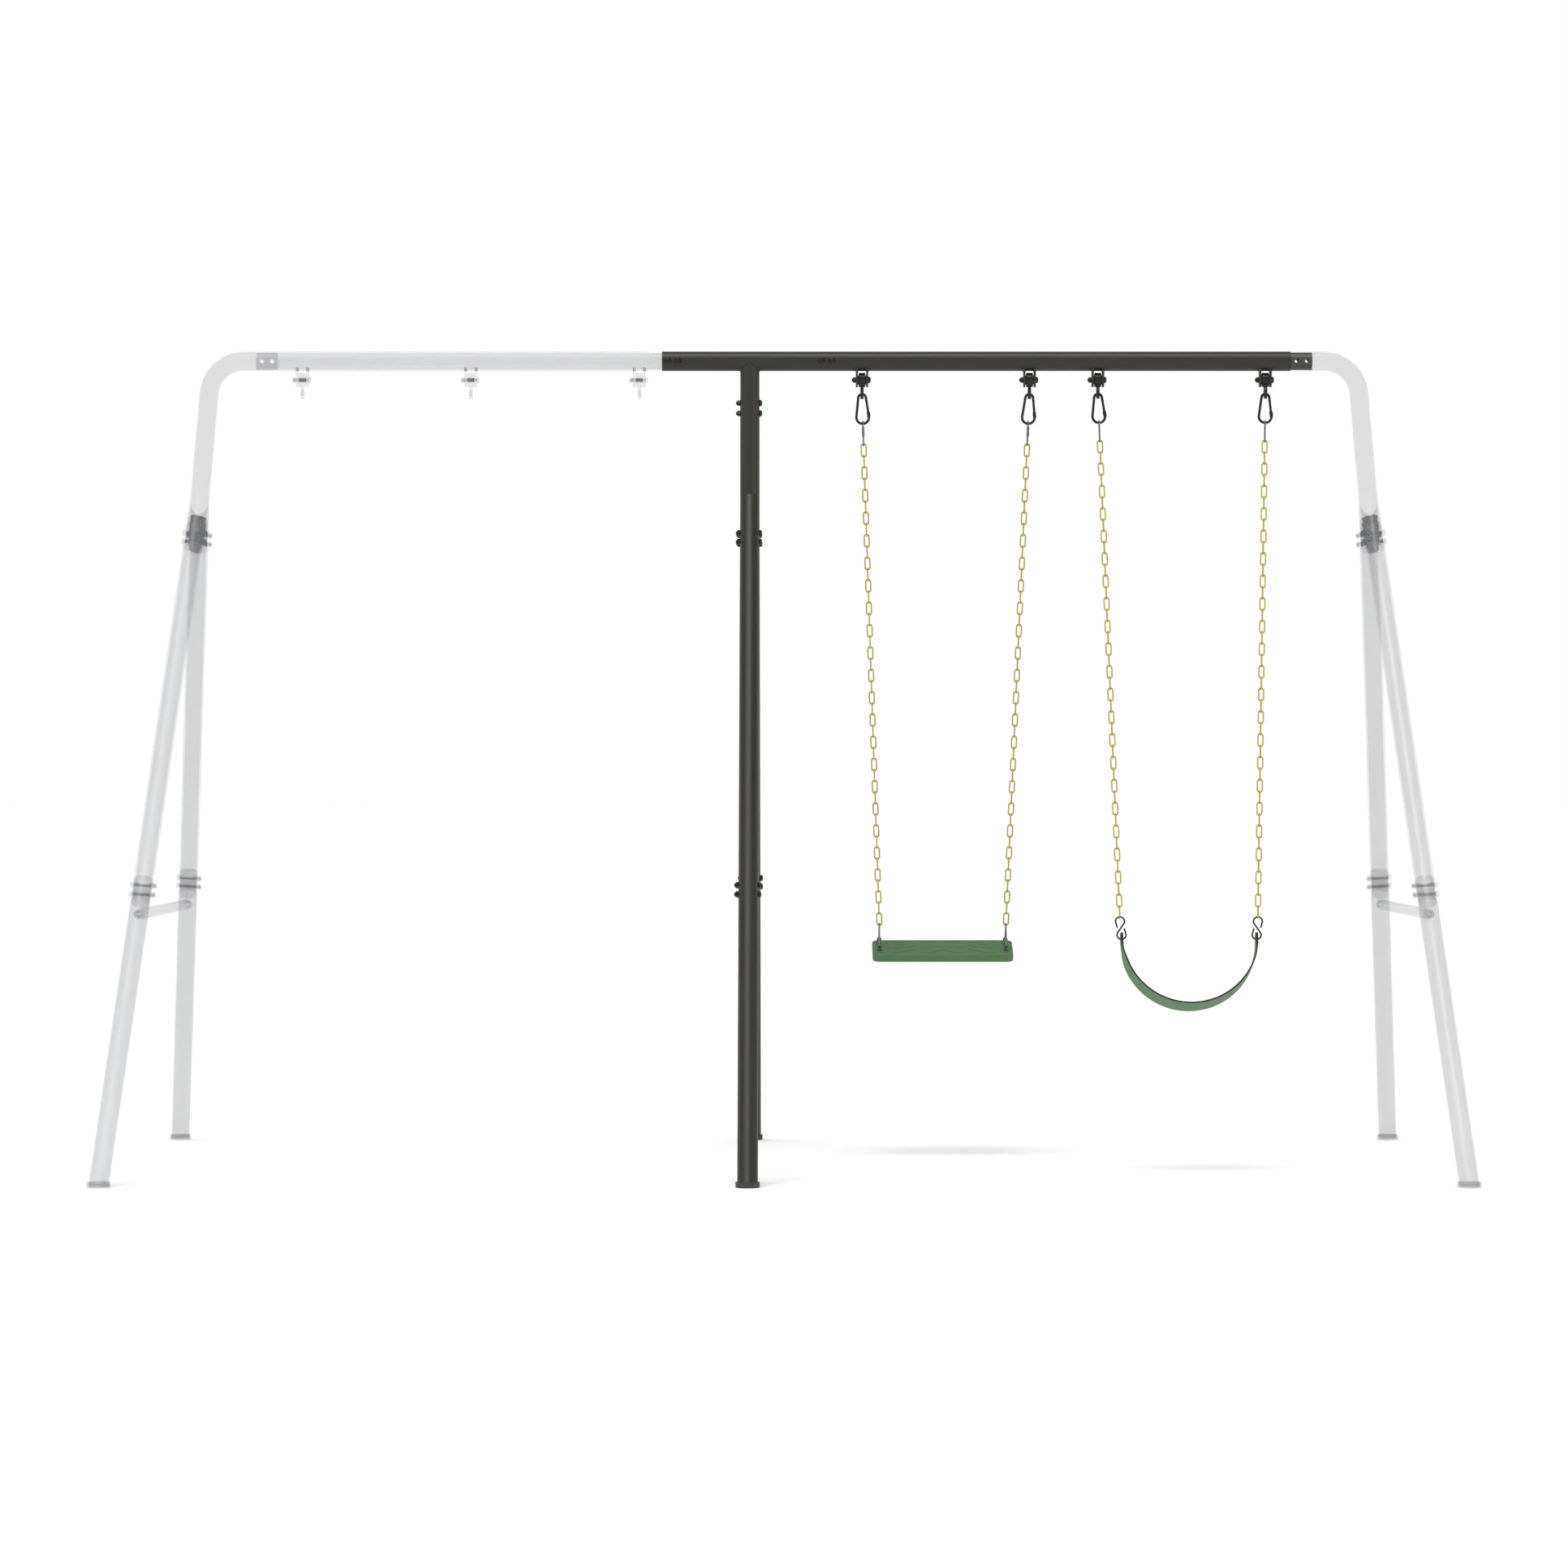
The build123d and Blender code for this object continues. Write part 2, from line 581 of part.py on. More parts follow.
for number, x in enumerate(left_hangers, start=1):
    with BuildPart() as spare_pivot:
        with Locations((x, 0, pivot_z)):
            add(pivot.part)
    spare_pivot.part.label = f"spare_pivot_{number}"
    export_step(spare_pivot.part, f"parts/spare_pivot_{number}.step")


# ---------------------------------------------------------------- hanging hardware, each at the origin
def oval_ring(length, width, wire):
    """A long ring of round wire in the XZ plane that hangs from the inside of its top."""
    half = (width - wire) / 2
    high = wire / 2 - half
    low = wire / 2 - (length - wire) + half
    with BuildSketch(Plane.XY.offset(low)) as sides:
        with Locations((half, 0), (-half, 0)):
            Circle(wire / 2)
    extrude(sides.sketch, amount=high - low)
    for level, turn in ((high, -1), (low, 1)):
        with BuildSketch(Plane.XY.offset(level)) as section:
            with Locations((half, 0)):
                Circle(wire / 2)
        revolve(section.sketch, axis=Axis((0, 0, level), (0, turn, 0)), revolution_arc=180)


with BuildPart() as chain_link:
    oval_ring(LINK_PITCH + SEAT_GAP + 2 * CHAIN_WIRE, LINK_WIDTH, CHAIN_WIRE)
with BuildPart() as end_link:
    oval_ring(END_LINK_LENGTH, END_LINK_WIDTH, END_LINK_WIRE)

# A quick link: an oval with a gap on one side, closed by a threaded sleeve.
sleeve_z = QUICK_WIRE - QUICK_LENGTH / 2 + SLEEVE_RISE
quick_half = (QUICK_WIDTH - QUICK_WIRE) / 2
with BuildPart() as quick_link:
    oval_ring(QUICK_LENGTH, QUICK_WIDTH, QUICK_WIRE)
    with BuildSketch(Plane.XY.offset(sleeve_z - QUICK_OPENING / 2)):
        with Locations((-quick_half, 0)):
            Circle(QUICK_WIRE)
    extrude(amount=QUICK_OPENING, mode=Mode.SUBTRACT)
with BuildPart() as link_sleeve:
    with BuildSketch(Plane.XY.offset(sleeve_z - SLEEVE_LENGTH / 2)):
        with Locations((-quick_half, 0)):
            RegularPolygon(SLEEVE_D / 2, 6)
            Circle(QUICK_WIRE / 2 + SLEEVE_PLAY, mode=Mode.SUBTRACT)
    extrude(amount=SLEEVE_LENGTH)

# The carabiner's outline, from the inside of its narrow top: two arcs and their tangents.
carabiner_r = CARABINER_WIRE / 2
top_r = CARABINER_TOP_W / 2 - carabiner_r
bottom_r = CARABINER_BOTTOM_W / 2 - carabiner_r
top_z = carabiner_r - top_r
bottom_z = carabiner_r - (CARABINER_LENGTH - CARABINER_WIRE) + bottom_r
flare = asin((bottom_r - top_r) / (top_z - bottom_z))
side_x, side_z = cos(flare), sin(flare)
gate_high = (GATE_HINGE + top_z + top_r * side_z) / side_x
gate_long = (GATE_LATCH - GATE_HINGE) / side_x
hinge_x = top_r * side_x + gate_high * side_z
hinge = Plane(origin=(hinge_x, 0, -GATE_HINGE), x_dir=(side_x, 0, side_z), z_dir=(side_z, 0, -side_x))
latch = hinge.offset(gate_long)
knuckle_r = CARABINER_WIRE / 2 - 0.2
shoulder = knuckle_r + 3 * GATE_PLAY
slot_t = TONGUE_T + 2 * GATE_PLAY

with BuildPart() as carabiner:
    with BuildLine(Plane.XZ) as outline:
        top_right = (top_r * side_x, top_z + top_r * side_z)
        low_right = (bottom_r * side_x, bottom_z + bottom_r * side_z)
        low_left = (-low_right[0], low_right[1])
        top_left = (-top_right[0], top_right[1])
        latch_end = (latch.origin.X, latch.origin.Z)
        hinge_end = hinge.from_local_coords((0, 0, -shoulder))
        Line(latch_end, low_right)
        ThreePointArc(low_right, (0, bottom_z - bottom_r), low_left)
        Line(low_left, top_left)
        ThreePointArc(top_left, (0, top_z + top_r), top_right)
        Line(top_right, (hinge_end.X, hinge_end.Z))
    with BuildSketch(latch):
        Circle(carabiner_r)
    sweep(path=outline.line)
    with BuildSketch(Plane(origin=hinge.origin, x_dir=hinge.x_dir, z_dir=(0, -1, 0))) as tongue:
        Circle(knuckle_r)
        with Locations((0, shoulder / 2 + knuckle_r / 2)):
            Rectangle(2 * knuckle_r, shoulder + knuckle_r)
        Circle(PIN_D / 2 + TURN_PLAY, mode=Mode.SUBTRACT)
    extrude(amount=TONGUE_T / 2, both=True)
    with BuildSketch(latch.offset(-NOSE_LENGTH / 2)):
        RectangleRounded(NOSE_W, NOSE_T, NOSE_ROUND)
    extrude(amount=NOSE_LENGTH)
    with BuildSketch(latch.offset(-NOSE_LENGTH / 2)):
        with Locations((-NOSE_W / 2, 0)):
            Rectangle(NOSE_W + 2 * TONGUE_T, slot_t)
    extrude(amount=NOSE_LENGTH / 2 + NOSE_SLOT, mode=Mode.SUBTRACT)

with BuildPart() as gate:
    with BuildSketch(hinge):
        Circle(knuckle_r)
    extrude(amount=gate_long - NOSE_LENGTH / 2 - GATE_PLAY)
    with BuildSketch(Plane(origin=hinge.origin, x_dir=hinge.x_dir, z_dir=(0, -1, 0))):
        Circle(knuckle_r)
    extrude(amount=knuckle_r - GATE_PLAY, both=True)
    with BuildSketch(hinge.offset(-knuckle_r - 1)):
        Rectangle(3 * knuckle_r, slot_t)
    extrude(amount=2 * knuckle_r + 1 + 2 * GATE_PLAY, mode=Mode.SUBTRACT)
    with BuildSketch(Plane(origin=hinge.origin, x_dir=hinge.x_dir, z_dir=(0, -1, 0))):
        Circle(PIN_D / 2)
    extrude(amount=knuckle_r - GATE_PLAY, both=True)
    with BuildSketch(hinge.offset(gate_long - NOSE_LENGTH / 2 - 2 * GATE_PLAY)):
        with Locations((-knuckle_r / 2 + TONGUE_T / 4, 0)):
            Rectangle(knuckle_r + TONGUE_T / 2, TONGUE_T)
    extrude(amount=NOSE_LENGTH / 2 + NOSE_SLOT - 2 * GATE_PLAY)

# ---------------------------------------------------------------- where the two swings hang
carabiner_at = -EYE_GAP
inside_carabiner = carabiner_at + CARABINER_LENGTH - 2 * CARABINER_WIRE - SEAT_GAP
board_chain_at = inside_carabiner + QUICK_LENGTH - 2 * QUICK_WIRE - SEAT_GAP
belt_chain_at = inside_carabiner + END_LINK_LENGTH - 2 * END_LINK_WIRE - SEAT_GAP
board_drop = board_chain_at + BOARD_LINKS * LINK_PITCH
belt_drop = belt_chain_at + BELT_LINKS * LINK_PITCH

board_swing = Location((BOARD_X + PAIR_PITCH / 2, 0, pivot_z), (BOARD_ANGLE, 0, 0))
belt_swing = Location((BELT_X + PAIR_PITCH / 2, 0, pivot_z), (BELT_ANGLE, 0, 0))


def strands(low_span, drop):
    """The left and right strands of a swing: each runs down -Z from its eye, leaning inwards."""
    lean = degrees(asin((PAIR_PITCH - low_span) / 2 / drop))
    left = Location((-PAIR_PITCH / 2, 0, -eye_rest), (0, -lean, 0))
    right = Location((PAIR_PITCH / 2, 0, -eye_rest), (0, lean, 0))
    return {"left": left, "right": right}


board_span = BOARD_LENGTH - 2 * EYE_BOLT_INSET
board_strands = strands(board_span, board_drop)
belt_strands = strands(BELT_SPAN, belt_drop)
swings = {
    "board": (board_swing, board_strands, board_chain_at, BOARD_LINKS),
    "belt": (belt_swing, belt_strands, belt_chain_at, BELT_LINKS),
}

for swing_name, (swing, pair, chain_at, link_count) in swings.items():
    with BuildPart() as pivots:
        with Locations(*[swing * Location((side * PAIR_PITCH / 2, 0, 0)) for side in (-1, 1)]):
            add(pivot.part)
    pivots.part.label = f"{swing_name}_pivots"
    export_step(pivots.part, f"parts/{swing_name}_pivots.step")

    with BuildPart() as carabiners:
        with Locations(*[swing * strand * Location((0, 0, -carabiner_at)) for strand in pair.values()]):
            add(carabiner.part)
    carabiners.part.label = f"{swing_name}_carabiners"
    export_step(carabiners.part, f"parts/{swing_name}_carabiners.step")

    for strand_name, strand in pair.items():
        with BuildPart() as carabiner_gate:
            with Locations(swing * strand * Location((0, 0, -carabiner_at))):
                add(gate.part)
        carabiner_gate.part.label = f"{swing_name}_{strand_name}_gate"
        export_step(carabiner_gate.part, f"parts/{swing_name}_{strand_name}_gate.step")

        # Every second link is turned a quarter about the chain.
        with BuildPart() as chain:
            for n in range(link_count):
                place = Location((0, 0, -chain_at - n * LINK_PITCH), (0, 0, 90 * (n % 2)))
                with Locations(swing * strand * place):
                    add(chain_link.part)
        chain.part.label = f"{swing_name}_{strand_name}_chain"
        export_step(chain.part, f"parts/{swing_name}_{strand_name}_chain.step")

# The joining links hang across the carabiners, edge-on to them.
joining = Location((0, 0, -inside_carabiner), (0, 0, 90))
board_link_places = [board_swing * strand * joining for strand in board_strands.values()]
with BuildPart() as board_quick_links:
    with Locations(*board_link_places):
        add(quick_link.part)
board_quick_links.part.label = "board_quick_links"
export_step(board_quick_links.part, "parts/board_quick_links.step")

with BuildPart() as board_link_sleeves:
    with Locations(*board_link_places):
        add(link_sleeve.part)
board_link_sleeves.part.label = "board_link_sleeves"
export_step(board_link_sleeves.part, "parts/board_link_sleeves.step")

with BuildPart() as belt_end_links:
    with Locations(*[belt_swing * strand * joining for strand in belt_strands.values()]):
        add(end_link.part)
belt_end_links.part.label = "belt_end_links"
export_step(belt_end_links.part, "parts/belt_end_links.step")

# ---------------------------------------------------------------- board seat
triangle_cut = TRIANGLE_APEX_R * (1 / sin(radians(TRIANGLE_ANGLE / 2)) - 1)
triangle_half = (TRIANGLE_HEIGHT + triangle_cut) * tan(radians(TRIANGLE_ANGLE / 2))
with BuildPart() as triangle:
    with BuildLine(Plane.YZ) as wire_line:
        base_z = TRIANGLE_WIRE / 2 - TRIANGLE_HEIGHT
        FilletPolyline(
            (triangle_half, base_z),
            (0, TRIANGLE_WIRE / 2 + triangle_cut),
            (-triangle_half, base_z),
            radius=[TRIANGLE_CORNER_R, TRIANGLE_APEX_R, TRIANGLE_CORNER_R],
            close=True,
        )
    with BuildSketch(Plane(origin=wire_line.line @ 0, z_dir=wire_line.line % 0)):
        Circle(TRIANGLE_WIRE / 2)
    sweep(path=wire_line.line)

board_hang = {name: strand * Location((0, 0, -board_drop)) for name, strand in board_strands.items()}
hang_point = board_hang["right"].position
eye_z = hang_point.Z + base_z - (EYE_BOLT_EYE_R - TRIANGLE_WIRE / 2 - SEAT_GAP)
board_top = eye_z - EYE_BOLT_RISE
eye_places = [
    board_swing * Location((side * hang_point.X, way * EYE_BOLT_PITCH / 2, board_top))
    for side in (-1, 1)
    for way in (-1, 1)
]

with BuildPart() as board_triangles:
    with Locations(*[board_swing * Location((side * hang_point.X, 0, hang_point.Z)) for side in (-1, 1)]):
        add(triangle.part)
board_triangles.part.label = "board_triangles"
export_step(board_triangles.part, "parts/board_triangles.step")

# Grip grooves, as runs of corner points: the left end's, mirrored to the right, and the middle's.
side_grooves = [
    [(-166, 68), (-124, 64), (-82, 53)],
    [(-154, 42), (-113, 29)],
    [(-154, -19), (-133, -12), (-82, 15)],
    [(-165, -71), (-136, -71), (-81, -27)],
    [(-210, -71), (-180, -71)],
]
middle_grooves = [
    [(-72, 70), (0, 53), (72, 70)],
    [(-69, 0), (69, 0)],
    [(-68, -71), (-38, -71), (0, -37), (38, -71), (68, -71)],
]
mirrored_grooves = [[(-x, y) for x, y in corners] for corners in side_grooves]

seat_top = Plane(board_swing * Location((0, 0, board_top)))
with BuildPart() as board_seat:
    with BuildSketch(seat_top):
        RectangleRounded(BOARD_LENGTH, BOARD_DEPTH, BOARD_CORNER)
    extrude(amount=-BOARD_T)
    fillet(board_seat.faces().filter_by(seat_top).edges(), radius=BOARD_EDGE)
    for corners in side_grooves + mirrored_grooves + middle_grooves:
        with BuildSketch(seat_top):
            with BuildLine():
                Polyline(*corners)
            trace(line_width=GROOVE_W)
        extrude(amount=-GROOVE_D, mode=Mode.SUBTRACT)
    with BuildSketch(seat_top):
        with GridLocations(2 * hang_point.X, EYE_BOLT_PITCH, 2, 2):
            Circle(EYE_BOLT_HOLE_D / 2)
    extrude(amount=-BOARD_T, mode=Mode.SUBTRACT)
board_seat.part.label = "board_seat"
export_step(board_seat.part, "parts/board_seat.step")

# An eye bolt from the top of the board: an eye across X, a collar and a shank through the board.
with BuildPart() as eye_bolt:
    with BuildSketch(Plane.XY.offset(-BOARD_T - EYE_NUT_H - EYE_BOLT_TAIL)):
        Circle(EYE_BOLT_D / 2)
    extrude(amount=BOARD_T + EYE_NUT_H + EYE_BOLT_TAIL + EYE_BOLT_RISE - EYE_BOLT_EYE_R - EYE_BOLT_WIRE / 2)
    with BuildSketch(Plane.XY):
        Circle(EYE_COLLAR_D / 2)
    extrude(amount=EYE_COLLAR_H)
    with BuildSketch(Plane.XY.offset(EYE_BOLT_RISE)):
        with Locations((EYE_BOLT_EYE_R + EYE_BOLT_WIRE / 2, 0)):
            Circle(EYE_BOLT_WIRE / 2)
    revolve(axis=Axis((0, 0, EYE_BOLT_RISE), (0, 1, 0)))
with BuildPart() as board_eye_bolts:
    with Locations(*eye_places):
        add(eye_bolt.part)
board_eye_bolts.part.label = "board_eye_bolts"
export_step(board_eye_bolts.part, "parts/board_eye_bolts.step")

with BuildPart() as eye_nut:
    with BuildSketch(Plane.XY.offset(-BOARD_T - EYE_NUT_H)):
        RegularPolygon(EYE_NUT_FLATS / 2, 6, major_radius=False)
        Circle(EYE_BOLT_D / 2 + SEAT_GAP, mode=Mode.SUBTRACT)
    extrude(amount=EYE_NUT_H)
    with BuildSketch(Plane.XY.offset(-BOARD_T - EYE_COLLAR_H)):
        Circle(EYE_COLLAR_D / 2)
        Circle(EYE_BOLT_D / 2 + SEAT_GAP, mode=Mode.SUBTRACT)
    extrude(amount=EYE_COLLAR_H)
with BuildPart() as board_eye_nuts:
    with Locations(*eye_places):
        add(eye_nut.part)
board_eye_nuts.part.label = "board_eye_nuts"
export_step(board_eye_nuts.part, "parts/board_eye_nuts.step")

# ---------------------------------------------------------------- belt seat
# An S-hook in the XZ plane: two loops about opposite centres, joined by their inner tangent.
loop_reach = hypot(HOOK_SIDE, HOOK_RISE)
tangent_turn = degrees(atan2(HOOK_RISE, -HOOK_SIDE) - asin(HOOK_R / loop_reach))
tangent_reach = sqrt(loop_reach**2 - HOOK_R**2)
tangent = (tangent_reach * cos(radians(tangent_turn)), tangent_reach * sin(radians(tangent_turn)))
tail_turn = radians(HOOK_TAIL_TURN)
tail_start = (-HOOK_SIDE - HOOK_R * cos(tail_turn), HOOK_RISE - HOOK_R * sin(tail_turn))
tail_end = (tail_start[0] + HOOK_TAIL * sin(tail_turn), tail_start[1] - HOOK_TAIL * cos(tail_turn))
with BuildPart() as hook:
    with BuildLine(Plane.XZ) as hook_line:
        Line(tail_end, tail_start)
        CenterArc((-HOOK_SIDE, HOOK_RISE), HOOK_R, 180 + HOOK_TAIL_TURN, tangent_turn - 270 - HOOK_TAIL_TURN)
        Line(tangent, (-tangent[0], -tangent[1]))
        CenterArc((HOOK_SIDE, -HOOK_RISE), HOOK_R, tangent_turn + 90, 270 + HOOK_TAIL_TURN - tangent_turn)
        Line((-tail_start[0], -tail_start[1]), (-tail_end[0], -tail_end[1]))
    with BuildSketch(Plane(origin=hook_line.line @ 0, z_dir=hook_line.line % 0)):
        Circle(HOOK_WIRE / 2)
    sweep(path=hook_line.line)
with BuildPart() as mirrored_hook:
    add(hook.part)
    mirror(about=Plane.YZ, mode=Mode.REPLACE)

hook_half = HOOK_RISE + HOOK_R - HOOK_WIRE / 2
with BuildPart() as belt_hooks:
    with Locations(belt_swing * belt_strands["left"] * Location((HOOK_SIDE, 0, -belt_drop - hook_half))):
        add(hook.part)
    with Locations(belt_swing * belt_strands["right"] * Location((-HOOK_SIDE, 0, -belt_drop - hook_half))):
        add(mirrored_hook.part)
belt_hooks.part.label = "belt_hooks"
export_step(belt_hooks.part, "parts/belt_hooks.step")

# The belt: a half round of thick rubber, with narrow ends that rise past their holes.
hook_low = Location((2 * HOOK_SIDE, 0, -belt_drop - hook_half - HOOK_RISE - HOOK_R))
low_wire = (belt_strands["left"] * hook_low).position
belt_r = -low_wire.X
hole_z = low_wire.Z - BELT_HOLE_DROP
belt_middle = belt_swing * Location((0, 0, hole_z))
belt_side = Plane(belt_middle * Plane.XZ.location)
belt_end = Plane(belt_middle * Plane.YZ.location)
with BuildPart() as belt_seat:
    with BuildSketch(belt_side):
        Circle(belt_r + BELT_T / 2)
        Circle(belt_r - BELT_T / 2, mode=Mode.SUBTRACT)
        with Locations((0, belt_r)):
            Rectangle(4 * belt_r, 2 * belt_r, mode=Mode.SUBTRACT)
        with Locations((0, (BELT_END_RISE - BELT_END_DROP) / 2)):
            with GridLocations(2 * belt_r, 0, 2, 1):
                Rectangle(BELT_END_T, BELT_END_RISE + BELT_END_DROP)
    extrude(amount=BELT_WIDTH / 2, both=True)
    with BuildSketch(belt_end.offset(-2 * belt_r)) as end_view:
        with BuildLine():
            half_end = BELT_END_W / 2
            half_width = BELT_WIDTH / 2
            Polyline(
                (-half_end, BELT_END_RISE),
                (half_end, BELT_END_RISE),
                (half_end, 0),
                (half_width, -BELT_TAPER),
                (half_width, -2 * belt_r),
                (-half_width, -2 * belt_r),
                (-half_width, -BELT_TAPER),
                (-half_end, 0),
                close=True,
            )
        make_face()
        fillet(end_view.vertices().group_by(Axis.Y)[-1], radius=BELT_END_ROUND)
    extrude(amount=4 * belt_r, mode=Mode.INTERSECT)
    with BuildSketch(belt_end):
        Circle(BELT_HOLE_R)
    extrude(amount=2 * belt_r, both=True, mode=Mode.SUBTRACT)
belt_seat.part.label = "belt_seat"
export_step(belt_seat.part, "parts/belt_seat.step")
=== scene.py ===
# %% [markdown]
# A swing set: a round steel beam on three A-frames, with a flat board swing and a belt swing.
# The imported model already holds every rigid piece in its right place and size. This script gives
# each one its finish, and makes what a solid modeller leaves plain: the moulded rubber belt and the
# weld beads.

# %% Load the frame
import json
from math import asin, atan2, cos, degrees, pi, sin, sqrt

import bmesh
import bpy
from mathutils import Matrix, Vector


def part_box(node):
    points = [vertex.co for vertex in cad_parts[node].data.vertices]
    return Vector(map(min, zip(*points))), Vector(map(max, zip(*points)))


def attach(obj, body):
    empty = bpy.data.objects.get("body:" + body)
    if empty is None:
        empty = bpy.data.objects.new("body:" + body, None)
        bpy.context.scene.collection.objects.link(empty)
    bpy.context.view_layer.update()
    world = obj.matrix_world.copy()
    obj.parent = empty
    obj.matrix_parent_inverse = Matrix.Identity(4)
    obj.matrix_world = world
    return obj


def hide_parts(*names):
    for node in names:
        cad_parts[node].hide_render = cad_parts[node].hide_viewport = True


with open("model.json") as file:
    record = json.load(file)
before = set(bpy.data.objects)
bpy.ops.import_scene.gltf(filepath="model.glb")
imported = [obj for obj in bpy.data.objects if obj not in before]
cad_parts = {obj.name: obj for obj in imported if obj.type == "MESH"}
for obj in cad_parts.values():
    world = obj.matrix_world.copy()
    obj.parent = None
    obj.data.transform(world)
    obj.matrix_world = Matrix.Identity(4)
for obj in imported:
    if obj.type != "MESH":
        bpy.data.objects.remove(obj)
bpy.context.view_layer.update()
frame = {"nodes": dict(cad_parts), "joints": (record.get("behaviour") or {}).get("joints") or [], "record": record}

MM = 0.001  # one millimetre, in the scene's metres
nodes = frame["nodes"]
joints = {joint["name"]: joint for joint in frame["joints"]}

# %% [markdown]
# Colours are written as the sRGB hex values that a paint chart gives. A shader works in linear
# light, so one function turns the one into the other.

# %% Colour and material helpers


def linear(hex_colour):
    """An sRGB hex colour as linear red, green, blue and alpha."""
    channels = [int(hex_colour[i : i + 2], 16) / 255 for i in (1, 3, 5)]
    return [c / 12.92 if c <= 0.04045 else ((c + 0.055) / 1.055) ** 2.4 for c in channels] + [1.0]


def new_material(name, colour, roughness, metallic=0.0, **sockets):
    """A material with its Principled sockets set, and that shader node."""
    material = bpy.data.materials.new(name)
    material.use_nodes = True
    shader = material.node_tree.nodes["Principled BSDF"]
    shader.inputs["Base Color"].default_value = linear(colour)
    shader.inputs["Roughness"].default_value = roughness
    shader.inputs["Metallic"].default_value = metallic
    for socket, value in sockets.items():
        shader.inputs[socket.replace("_", " ")].default_value = value
    return material, shader


def add_node(material, kind, links=(), **settings):
    """Adds one node. A setting is a property or a socket's value; a link is (socket, source)."""
    node = material.node_tree.nodes.new(kind)
    for key, value in settings.items():
        if hasattr(node, key):
            setattr(node, key, value)
        else:
            node.inputs[key.replace("_", " ")].default_value = value
    for socket, source in links:
        material.node_tree.links.new(source, node.inputs[socket])
    return node


# A mix node has sockets of the same name for numbers, vectors and colours, so the colour ones are
# picked by their place in the list.
MIX_SHARE, MIX_COLOUR_A, MIX_COLOUR_B, MIX_COLOUR_OUT = 0, 6, 7, 2


def noise(material, place, size_mm, detail):
    """A noise pattern whose blotches have a real size."""
    at = [("Vector", place.outputs["Object"])]
    return add_node(material, "ShaderNodeTexNoise", at, Scale=1 / (size_mm * MM), Detail=detail)


def mottled(material, shader, low, high, size_mm, detail=3.0):
    """Lets a colour drift between two tones in patches of a real size."""
    place = add_node(material, "ShaderNodeTexCoord")
    patches = noise(material, place, size_mm, detail)
    tones = add_node(material, "ShaderNodeMix", data_type="RGBA")
    tones.inputs[MIX_COLOUR_A].default_value = linear(low)
    tones.inputs[MIX_COLOUR_B].default_value = linear(high)
    material.node_tree.links.new(patches.outputs["Fac"], tones.inputs[MIX_SHARE])
    material.node_tree.links.new(tones.outputs[MIX_COLOUR_OUT], shader.inputs["Base Color"])
    return place, patches


def rough_range(material, shader, source, low, high):
    """Lets the roughness follow a pattern between two values."""
    spread = add_node(material, "ShaderNodeMapRange", [("Value", source)], To_Min=low, To_Max=high)
    material.node_tree.links.new(spread.outputs["Result"], shader.inputs["Roughness"])


def grained(material, shader, place, size_mm, depth_mm, strength=0.6, detail=2.0):
    """A fine bump of a real grain size and depth."""
    height = [("Height", noise(material, place, size_mm, detail).outputs["Fac"])]
    bump = add_node(material, "ShaderNodeBump", height, Strength=strength, Distance=depth_mm * MM)
    material.node_tree.links.new(bump.outputs["Normal"], shader.inputs["Normal"])


print("#808080 is", round(linear("#808080")[0], 3), "in linear light")

# %% [markdown]
# The frame is steel tube with a powder coat: dry polyester powder, sprayed on and baked. It melts
# into a tough satin skin with a faint orange peel. The tone is a dark olive grey. Orange peel on
# such a coat is 1 to 2 mm across; it is drawn at 5 mm so that it still shows on a 60 mm tube.
# A painted picture wrapped round each tube would do it too, but a noise pattern in the object's own
# space needs no unwrapping and keeps its size on every tube.

# %% Powder-coated steel
powder_coat, shader = new_material("powder_coated_steel", "#282723", 0.45, Specular_IOR_Level=0.3)
place, patches = mottled(powder_coat, shader, "#25241f", "#2c2b27", 90)
rough_range(powder_coat, shader, patches.outputs["Fac"], 0.38, 0.50)
grained(powder_coat, shader, place, 5, 0.05)
print("made", powder_coat.name)

# %% [markdown]
# Half of the set is shown as a pale, see-through rendering of the same tube. Every wall lets most
# of the light through, so a tube reads as a light grey band, darker where two tubes overlap.
# A plain alpha on a light grey coat does this with no refraction, so nothing behind it bends. The
# corner tubes sleeve over the dark necks of the beam, so theirs is a darker and thinner coat, which
# looks the same on white and still shows the neck.

# %% See-through coat
clear_coat, shader = new_material("clear_rendered_steel", "#a6a7a9", 0.25, Alpha=0.18)
place, patches = mottled(clear_coat, shader, "#a2a3a6", "#abacae", 120)
grained(clear_coat, shader, place, 5, 0.05, strength=0.3)
clear_corner, shader = new_material("clear_rendered_corner_tube", "#77787a", 0.25, Alpha=0.10)
place, patches = mottled(clear_corner, shader, "#747577", "#7b7c7e", 120)
grained(clear_corner, shader, place, 5, 0.05, strength=0.3)
clear_fastener, shader = new_material("clear_rendered_fastener", "#8b8c8e", 0.25, Alpha=0.17)
place, patches = mottled(clear_fastener, shader, "#858689", "#929395", 12)
clear_vinyl, shader = new_material("clear_vinyl", "#a9aaab", 0.30, Alpha=0.30)
place, patches = mottled(clear_vinyl, shader, "#a4a5a7", "#b0b1b2", 20)
print("made", clear_coat.name, clear_corner.name, clear_fastener.name, clear_vinyl.name)

# %% [markdown]
# Bolts, nuts, hangers and carabiners are steel with a black coat, a little glossier than the tube.
# The quick links, triangles and eye bolts are zinc plated: a grey metal with a dull mirror.
# The S-hooks are bare dark wire, phosphated and oiled. One flat tone would look like plastic at this
# size, so tone and shine both drift over a few millimetres, as plating and handling leave them.

